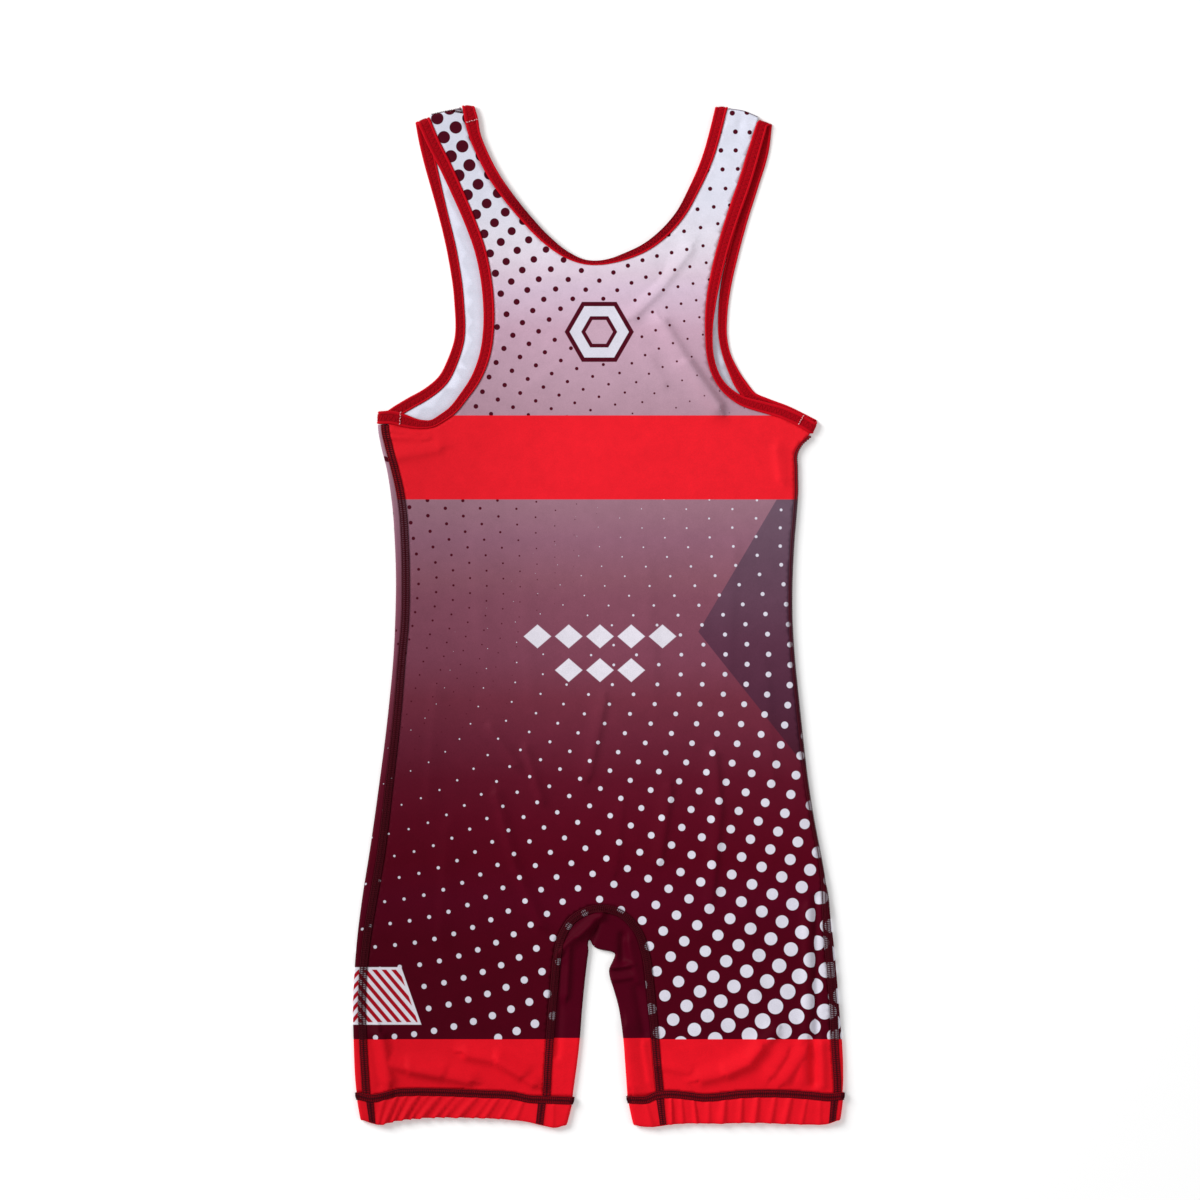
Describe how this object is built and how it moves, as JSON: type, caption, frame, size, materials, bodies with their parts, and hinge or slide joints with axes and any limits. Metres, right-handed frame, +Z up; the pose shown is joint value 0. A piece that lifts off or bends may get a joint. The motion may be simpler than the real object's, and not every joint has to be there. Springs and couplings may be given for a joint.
{
  "type": "wrestling singlet",
  "caption": "Sleeveless one-piece stretch suit with short legs, low round neck, bound armholes and a crotch gusset, laid flat with its back up.",
  "frame": {"origin": "on the surface that the garment lies on, under the middle of its box", "axes": "+Z up, out of the back; +Y from the leg hems to the shoulders; +X towards the wearer's right"},
  "size_m": [0.3926, 0.8183, 0.0066],
  "materials": {
    "printed_jersey": "smooth stretch jersey, white at the straps turning to maroon at the legs, with printed dots",
    "plain_jersey": "smooth stretch jersey, plain maroon",
    "red_jersey": "smooth stretch jersey, gathered over elastic",
    "red_binding": "folded knit tape",
    "seam_thread": "matt overlocked thread"
  },
  "bodies": {
    "root": {"back_panel": "printed_jersey", "front_panel": "printed_jersey", "crotch_gusset": "plain_jersey", "neck_binding": "red_binding", "armhole_binding_left": "red_binding", "armhole_binding_right": "red_binding", "hem_band_left": "red_jersey", "hem_band_right": "red_jersey", "hem_seam_left": "seam_thread", "hem_seam_right": "seam_thread", "side_seam_left": "seam_thread", "side_seam_right": "seam_thread", "gusset_seam_back": "seam_thread", "gusset_seam_front": "seam_thread", "shoulder_seam_left": "seam_thread", "shoulder_seam_right": "seam_thread"}
  },
  "joints": []
}
